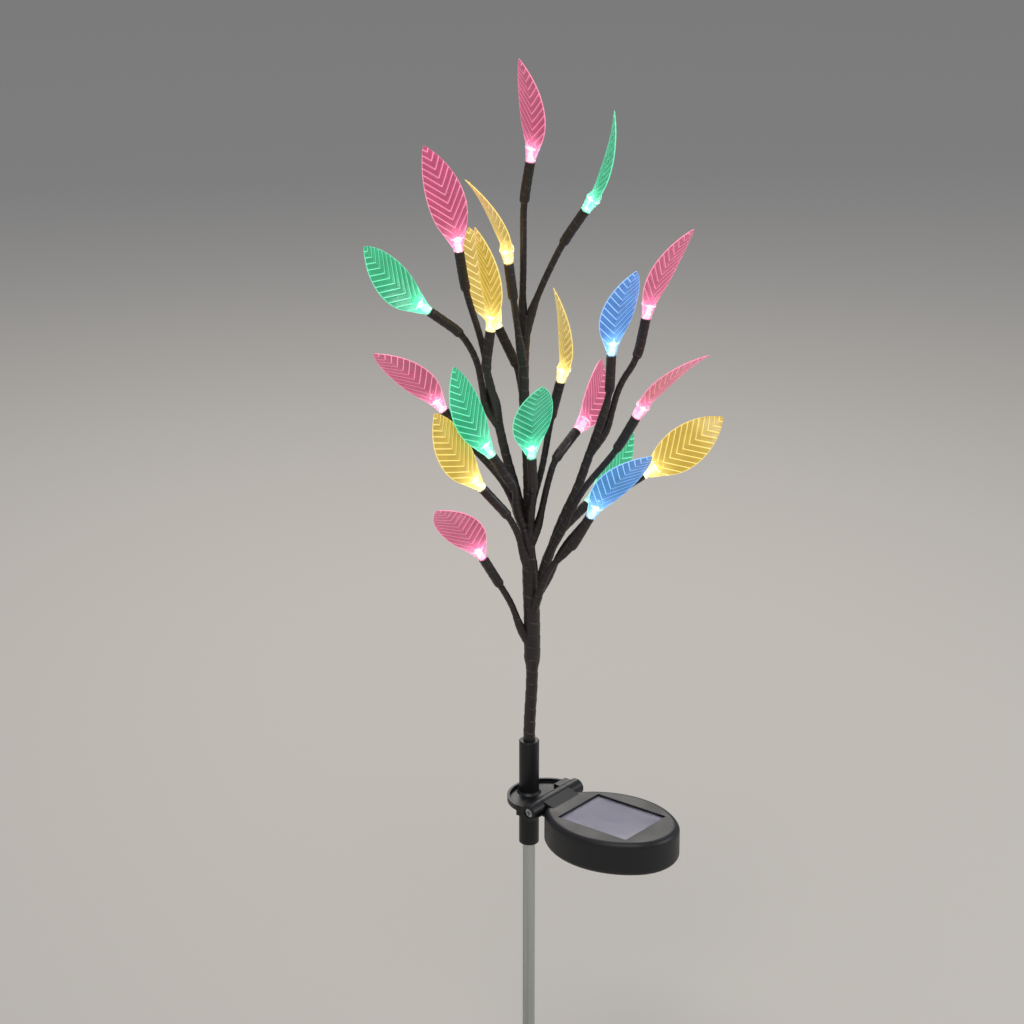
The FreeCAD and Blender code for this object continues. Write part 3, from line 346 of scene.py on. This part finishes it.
# ---------------------------------------------------------------- materials
class Paint:
    """A node material under construction; every method adds a node and returns its output."""

    def __init__(self, name):
        self.material = bpy.data.materials.new(name)
        self.material.use_nodes = True
        self.tree = self.material.node_tree
        self.shader = self.tree.nodes["Principled BSDF"]
        self.place = self.add("ShaderNodeTexCoord").outputs["Object"]

    def add(self, kind, **settings):
        """A node with its settings."""
        made = self.tree.nodes.new(kind)
        for key, value in settings.items():
            setattr(made, key, value)
        return made

    def put(self, socket, value):
        """Set a socket to a constant or link it to an output."""
        if isinstance(value, bpy.types.NodeSocket):
            self.tree.links.new(value, socket)
        elif socket.type == "RGBA" and len(value) == 3:
            socket.default_value = (*value, 1)
        else:
            socket.default_value = value

    def math(self, operation, *values):
        """One arithmetic step."""
        made = self.add("ShaderNodeMath", operation=operation)
        for index, value in enumerate(values):
            self.put(made.inputs[index], value)
        return made.outputs[0]

    def noise(self, scale, detail=4.0, stretch=(1, 1, 1)):
        """Noise over the object, of that many cells per metre."""
        moved = self.add("ShaderNodeMapping")
        self.put(moved.inputs["Vector"], self.place)
        moved.inputs["Scale"].default_value = stretch
        made = self.add("ShaderNodeTexNoise")
        self.put(made.inputs["Vector"], moved.outputs[0])
        made.inputs["Scale"].default_value = scale
        made.inputs["Detail"].default_value = detail
        return made.outputs["Fac"]

    def mix(self, share, first, second):
        """A colour between two."""
        made = self.add("ShaderNodeMix", data_type="RGBA")
        self.put(made.inputs[0], share)
        self.put(made.inputs[6], first)
        self.put(made.inputs[7], second)
        return made.outputs[2]

    def spread(self, value, low, high, out_low, out_high):
        """A value mapped from one range to another and held at its ends."""
        made = self.add("ShaderNodeMapRange", interpolation_type="SMOOTHSTEP")
        for index, item in enumerate((value, low, high, out_low, out_high)):
            self.put(made.inputs[index], item)
        return made.outputs[0]

    def uv(self):
        """The piece's own two coordinates."""
        made = self.add("ShaderNodeSeparateXYZ")
        source = self.add("ShaderNodeUVMap", uv_map="along_around")
        self.put(made.inputs[0], source.outputs[0])
        return made.outputs[0], made.outputs[1]

    def bump(self, height, strength, distance, soft_edge=None):
        """A bump, over edges softened by a radius in metres where one is given."""
        made = self.add("ShaderNodeBump")
        made.inputs["Strength"].default_value = strength
        made.inputs["Distance"].default_value = distance
        self.put(made.inputs["Height"], height)
        if soft_edge:
            edge = self.add("ShaderNodeBevel", samples=6)
            edge.inputs["Radius"].default_value = soft_edge
            self.put(made.inputs["Normal"], edge.outputs[0])
        self.put(self.shader.inputs["Normal"], made.outputs[0])

    def done(self, **values):
        """Set the shader's sockets by name, with _ for a space, and return the material."""
        for key, value in values.items():
            self.put(self.shader.inputs[key.replace("_", " ")], value)
        return self.material


def plain(name, colour, rough, metal=0.0, grain=900, grain_depth=0.00003, soft=0.0003, mottle=0.12,
          **more):
    """A solid material with a fine grain, faint mottling and softened edges."""
    paint = Paint(name)
    cloud = paint.noise(60, 3)
    dark = tuple(c * (1 - mottle) for c in colour)
    light = tuple(min(1, c * (1 + mottle)) for c in colour)
    paint.bump(paint.noise(grain, 2), 0.25, grain_depth, soft)
    return paint.done(Base_Color=paint.mix(cloud, dark, light), Metallic=metal,
                      Roughness=paint.spread(cloud, 0.3, 0.7, rough - 0.04, rough + 0.05), **more)


def tape(name):
    """Dark stretched tape with a painted highlight along each turn's edge, where its proud lip
    would catch the light: the edge is painted paler than its middle, in patches that follow the
    wrinkles.
    """
    paint = Paint(name)
    along, around = paint.uv()
    turn = paint.math("FRACT", paint.math("ADD", along, around))
    # each turn's edge: the mask of the painted highlight, and a step for the bump
    edge = paint.spread(turn, 0.86, 0.97, 0, 1)
    wrinkle = paint.noise(260, 5, (1, 1, 0.35))
    base = paint.mix(paint.noise(70, 2), (0.014, 0.011, 0.010), (0.034, 0.024, 0.021))
    # painted highlight: the edges mixed towards a paler colour, broken up by the wrinkles
    colour = paint.mix(paint.math("MULTIPLY", edge, paint.spread(wrinkle, 0.45, 0.62, 0.0, 0.6)),
                       base, (0.13, 0.11, 0.10))
    paint.bump(paint.math("ADD", wrinkle, edge), 0.55, 0.00025)
    return paint.done(Base_Color=colour, Roughness=paint.spread(wrinkle, 0.3, 0.7, 0.34, 0.55),
                      Specular_IOR_Level=0.5)


LEAF_COLOURS = {  # body; veins and rim, their painted highlight, also lightening the socket's tint; glow, the lamp's light, also painted as a glow on the blade and socket
    "pink": ((0.58, 0.10, 0.22), (1.0, 0.42, 0.58), (1.0, 0.28, 0.55)),
    "green": ((0.02, 0.48, 0.24), (0.30, 0.95, 0.66), (0.10, 1.0, 0.60)),
    "yellow": ((0.66, 0.46, 0.05), (0.98, 0.86, 0.34), (1.0, 0.82, 0.22)),
    "blue": ((0.08, 0.30, 0.72), (0.48, 0.74, 1.0), (0.22, 0.60, 1.0)),
    "warm": ((0.80, 0.60, 0.14), (1.0, 0.92, 0.50), (1.0, 0.84, 0.30)),
}


def leaf_paint(key):
    """Tinted clear plastic with painted light: its raised veins and rim are painted paler as a
    highlight, and the whole blade glows, brightest round the lamp, a painted glow standing in for
    the lamp's light in the plastic.

    The piece's coordinates are its flat x and y, 0.1 to the centimetre, from 0.5.
    """
    body, pale, glow = LEAF_COLOURS[key]
    paint = Paint("leaf_" + key)
    u, v = paint.uv()
    x = paint.math("MULTIPLY", paint.math("SUBTRACT", u, 0.5), 100)
    y = paint.math("ABSOLUTE", paint.math("MULTIPLY", paint.math("SUBTRACT", v, 0.5), 100))
    phase = paint.math("DIVIDE", paint.math("SUBTRACT", x, paint.math("MULTIPLY", y, VEIN_SLOPE)),
                       VEIN_PITCH)
    off = paint.math("ABSOLUTE", paint.math("SUBTRACT", phase, paint.math("ROUND", phase)))
    line = paint.math("MULTIPLY", paint.spread(off, 0.04, 0.10, 1, 0),
                      paint.spread(x, 8, 13, 0, 1))
    rim = paint.add("ShaderNodeAttribute", attribute_name="rim").outputs["Fac"]
    lines = paint.math("MAXIMUM", line, rim)
    near = paint.spread(x, 3, 24, 1, 0)
    cloud = paint.spread(paint.noise(120, 3), 0.3, 0.7, 0.75, 1.1)
    # painted highlight: the veins and rim mixed towards the pale colour
    colour = paint.mix(paint.math("MULTIPLY", lines, 0.7), body, pale)
    # painted glow: the blade emits, whitish and strongest near the lamp, more on the veins and rim
    # and faintly all over in clouds
    shine = paint.mix(near, colour, paint.mix(0.15, glow, (1, 1, 1)))
    power = paint.math("ADD", paint.math("MULTIPLY", paint.math("POWER", near, 2.0), 0.6),
                       paint.math("ADD", paint.math("MULTIPLY", cloud, 0.30),
                                  paint.math("MULTIPLY", lines, 0.35)))
    paint.bump(paint.noise(350, 3), 0.15, 0.0001)
    return paint.done(Base_Color=colour, Roughness=0.24, Transmission_Weight=0.45, IOR=1.3,
                      Emission_Color=shine, Emission_Strength=power,
                      Alpha=paint.math("ADD", 0.76, paint.math("MULTIPLY", lines, 0.2)),
                      Coat_Weight=0.25, Coat_Roughness=0.1)


def socket_paint(key):
    """The lamp's clear tinted socket with painted light: a painted highlight round the ridge at its
    widest place, painted glints scattered over it, and a faint painted glow all over that stands in
    for the lamp's light in it.
    """
    body, pale, glow = LEAF_COLOURS[key]
    paint = Paint("socket_" + key)
    x = paint.math("MULTIPLY", paint.uv()[0], 10)
    # painted highlight: a white band round the ridge at the socket's widest place
    bead_highlight = paint.math("MULTIPLY", paint.spread(x, 8.0, 8.6, 0, 1), paint.spread(x, 9.3, 9.9, 1, 0))
    # painted glints: bright specks at random
    painted_glint = paint.spread(paint.noise(420, 2), 0.56, 0.66, 0, 1)
    light = paint.math("MAXIMUM", paint.math("MULTIPLY", bead_highlight, 0.75),
                       paint.math("MULTIPLY", painted_glint, 0.6))
    paint.bump(paint.noise(500, 3), 0.3, 0.0002)
    tint = paint.mix(0.45, body, pale)
    # the painted highlight and glints whiten the colour and the glow; the whole socket glows
    # faintly as painted light
    return paint.done(Base_Color=paint.mix(light, tint, (1, 1, 1)), Roughness=0.1,
                      Transmission_Weight=0.8, IOR=1.4,
                      Emission_Color=paint.mix(light, glow, (1, 1, 1)),
                      Emission_Strength=paint.math("ADD", 0.26, paint.math("MULTIPLY", light, 0.5)),
                      Alpha=paint.math("ADD", 0.5, paint.math("MULTIPLY", light, 0.4)))


def lamp_paint(key):
    """The lit lamp: mostly white, tinted with its glow in patches that follow a noise."""
    paint = Paint("lamp_" + key)
    glow = LEAF_COLOURS[key][2]
    heart = paint.mix(paint.spread(paint.noise(500, 1), 0.3, 0.7, 0.6, 0.9), glow, (1, 1, 1))
    return paint.done(Base_Color=(0.9, 0.9, 0.9), Emission_Color=heart, Emission_Strength=1.6,
                      Roughness=0.15)


def clear_rod():
    """Clear grey-green rod, darker and paler in faint streaks along it."""
    paint = Paint("clear_rod")
    lines = paint.noise(420, 3, (1, 1, 0.012))
    paint.bump(lines, 0.5, 0.0004)
    return paint.done(Base_Color=paint.mix(lines, (0.20, 0.23, 0.21), (0.74, 0.78, 0.74)),
                      Roughness=paint.spread(lines, 0.3, 0.7, 0.08, 0.22),
                      Transmission_Weight=0.92, IOR=1.46)


def cell_paint():
    """Silicon cell: lilac grey crystal cloud with thin pale bus lines across it."""
    paint = Paint("solar_cell")
    axes = paint.add("ShaderNodeSeparateXYZ")
    paint.put(axes.inputs[0], paint.place)
    low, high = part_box("solar_cell")
    pitch = (high.y - low.y) / 4
    step = paint.math("DIVIDE", paint.math("SUBTRACT", axes.outputs[1], low.y + pitch / 2), pitch)
    off = paint.math("ABSOLUTE", paint.math("SUBTRACT", step, paint.math("ROUND", step)))
    bus = paint.spread(off, 0.01, 0.025, 0.25, 0)
    crystal = paint.mix(paint.noise(90, 2), (0.21, 0.205, 0.28), (0.27, 0.265, 0.345))
    return paint.done(Base_Color=paint.mix(bus, crystal, (0.55, 0.54, 0.58)), Roughness=0.28,
                      Metallic=0.35)


BLACK = plain("black_plastic", (0.008, 0.008, 0.0085), 0.40, Specular_IOR_Level=0.4)
GREY = plain("grey_plastic", (0.013, 0.013, 0.014), 0.44, Specular_IOR_Level=0.4)
STEEL = plain("steel_screw", (0.42, 0.42, 0.44), 0.24, 1.0, soft=0.0001, mottle=0.05)
TAPE = tape("wrap")
NODE_PAINTS = {
    "ground_stake": clear_rod(), "bracket": BLACK, "hinge_screw": STEEL, "hinge_nut": STEEL,
    "panel_top_cover": GREY, "panel_bottom_cover": GREY, "solar_cell": cell_paint(),
    "cell_glaze": plain("glaze", (0.93, 0.94, 0.97), 0.06, Transmission_Weight=1.0, Alpha=0.35,
                        soft=0.0001),
    "battery": plain("battery_can", (0.03, 0.18, 0.07), 0.3),
    "battery_contacts": plain("contact_metal", (0.6, 0.6, 0.6), 0.3, 1.0, soft=0.0001),
    "circuit_board": plain("board", (0.01, 0.10, 0.04), 0.35, soft=0.0001),
    "cell_leads": plain("lead", (0.4, 0.02, 0.02), 0.4, soft=0.0001),
    "switch_body": BLACK, "housing_screws": STEEL,
    "power_button": plain("button_rubber", (0.02, 0.02, 0.02), 0.6),
}


# ---------------------------------------------------------------- building the pieces
def bough_radius(base, tip):
    """A bundle that thins evenly from its base to its tip, in mm."""
    return lambda s, total: (base + (tip - base) * s / total) * MM


def trunk_radius(s, total):
    """The trunk's radius in metres: thick over the fork, slimmer above it."""
    z = s / MM + TRUNK[0][2]
    fork = smooth_step(*FORK_RISE, z) * (1 - smooth_step(*FORK_FALL, z))
    lower = TRUNK_RADIUS + (LEADER_RADIUS - TRUNK_RADIUS) * smooth_step(*TRUNK_TAPER, z)
    return (lower - TRUNK_INSET + (FORK_RADIUS - lower) * fork) * MM


def build_boughs():
    """The trunk with its fork wrap, and the three boughs, each starting inside the trunk."""
    for name, route, radius, kind, nodes in (
            ("trunk_skin", TRUNK, trunk_radius, "trunk", ["trunk", "fork_wrap"]),
            ("right_bough_skin", RIGHT_BOUGH, bough_radius(3.1, 2.7), "bough", ["right_bough"]),
            ("left_bough_skin", LEFT_BOUGH, bough_radius(3.0, 2.7), "bough", ["left_bough"]),
            ("lower_left_skin", LOWER_LEFT_BOUGH, bough_radius(2.6, 2.25), "lower_bough",
             ["lower_left_bough"])):
        part = wrapped_tube(row(route), radius, TAPE_PITCH[kind], sides=32, lip=0.00026)
        skin = piece(name, [part], TAPE)
        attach(skin, "bracket")
        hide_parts(*nodes)


def build_twigs():
    """Twenty twigs, each from inside its bough past its pivot to the leaf's base."""
    pivots = {j["child"]: np.array(j["pos_m"]) for j in frame["joints"] if "pos_m" in j}
    for index, (carrier, height, route, base, aim, _) in enumerate(TWIGS):
        body = "twig_%02d" % (index + 1)
        pivot = pivots[body]
        root = row(point_at(CARRIERS[carrier], height - TWIG_ROOT_DROP))[0]
        end = row(base)[0]
        shoulder = end - heading(*aim[:2]) * TWIG_END_LENGTH * MM
        bends = [row(p)[0] for p in route]
        start_length = np.linalg.norm(pivot - root) / MM

        def radius(s, total, start_length=start_length):
            """Thick where it leaves the bough, thin, then a step to the end under the leaf."""
            d, left = s / MM, (total - s) / MM
            foot = FOOT_SWELL * (1 - smooth_step(start_length - 4, start_length + 12, d))
            step = smooth_step(-1.6, 1.2, TWIG_END_LENGTH * END_SHARE - left)
            end_swell = (TWIG_END_RADIUS - TWIG_RADIUS) * step
            return (TWIG_RADIUS - TWIG_INSET + foot + end_swell) * MM
        points = [root, pivot] + bends + [shoulder, end]
        part = wrapped_tube(points, radius, TAPE_PITCH["twig"])
        skin = piece(body + "_skin", [part], TAPE)
        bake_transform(skin)
        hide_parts(body)


def build_leaves():
    """Twenty copies of one leaf and of its lamp, each in its own colour."""
    paints = {key: (leaf_paint(key), socket_paint(key), lamp_paint(key)) for key in LEAF_COLOURS}
    shapes = (("blade", blade()), ("socket", socket()), ("lamp", lamp()))
    rim = blade_rim().astype(np.float32)
    for index, (_, _, _, base, aim, key) in enumerate(TWIGS):
        turn, at = leaf_turn(aim), row(base)[0]
        name = "%02d" % (index + 1)
        for (part, shape), material in zip(shapes, paints[key]):
            thing = piece("leaf_%s_%s" % (name, part), [placed(shape, turn, at)], material)
            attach(thing, "twig_" + name)
            if part == "blade":
                # the rim mask, where the leaf's material paints a highlight and glow
                thing.data.attributes.new("rim", "FLOAT", "POINT").data.foreach_set("value", rim)
                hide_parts("leaf_" + name)


def paint_nodes():
    """Give every shown CAD node its material."""
    for name, thing in frame["nodes"].items():
        material = NODE_PAINTS.get(name, TAPE)
        thing.data.materials.clear()
        thing.data.materials.append(material)


# ---------------------------------------------------------------- surroundings
def area_light(name, at, target, size, power, colour):
    """A square lamp aimed at a point."""
    data = bpy.data.lights.new(name, "AREA")
    data.size, data.energy, data.color = size, power, colour
    thing = bpy.data.objects.new(name, data)
    thing.location = at
    way = np.array(target, float) - np.array(at, float)
    flat = math.hypot(way[0], way[1])
    thing.rotation_euler = (math.atan2(flat, -way[2]), 0, math.atan2(-way[0], way[1]))
    bpy.context.scene.collection.objects.link(thing)


def build_surroundings():
    """A pale floor at the stake's point, soft lights, and the camera."""
    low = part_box("ground_stake")[0].z
    mesh = bpy.data.meshes.new("floor")
    mesh.from_pydata([(-30, -30, low), (30, -30, low), (30, 30, low), (-30, 30, low)], [],
                     [(0, 1, 2, 3)])
    floor = bpy.data.objects.new("floor", mesh)
    bpy.context.scene.collection.objects.link(floor)
    paint = Paint("floor")
    mesh.materials.append(paint.done(Base_Color=(0.60, 0.565, 0.515), Roughness=0.9))
    world = bpy.data.worlds.new("world")
    bpy.context.scene.world = world
    world.use_nodes = True
    world.node_tree.nodes["Background"].inputs["Color"].default_value = (0.85, 0.9, 1.0, 1)
    world.node_tree.nodes["Background"].inputs["Strength"].default_value = 0.35
    area_light("key", (0.5, -0.9, 1.7), (0, 0, 0.3), 0.7, 11, (1, 0.97, 0.93))
    area_light("back", (-0.9, 1.0, 1.3), (0, 0, 0.3), 0.8, 12, (1, 0.96, 0.9))
    area_light("side", (1.4, 0.9, 0.9), (0, 0, 0.25), 0.6, 9, (0.95, 0.97, 1))
    data = bpy.data.cameras.new("camera")
    data.lens, data.sensor_width = 124.75, 36.0
    camera = bpy.data.objects.new("camera", data)
    camera.location = (1.2559, -1.6252, 1.1254)
    camera.rotation_euler = (math.radians(69), 0, math.radians(38))
    bpy.context.scene.collection.objects.link(camera)
    bpy.context.scene.camera = camera
    bpy.context.scene.view_settings.view_transform = "Standard"


paint_nodes()
build_boughs()
build_twigs()
build_leaves()
build_surroundings()
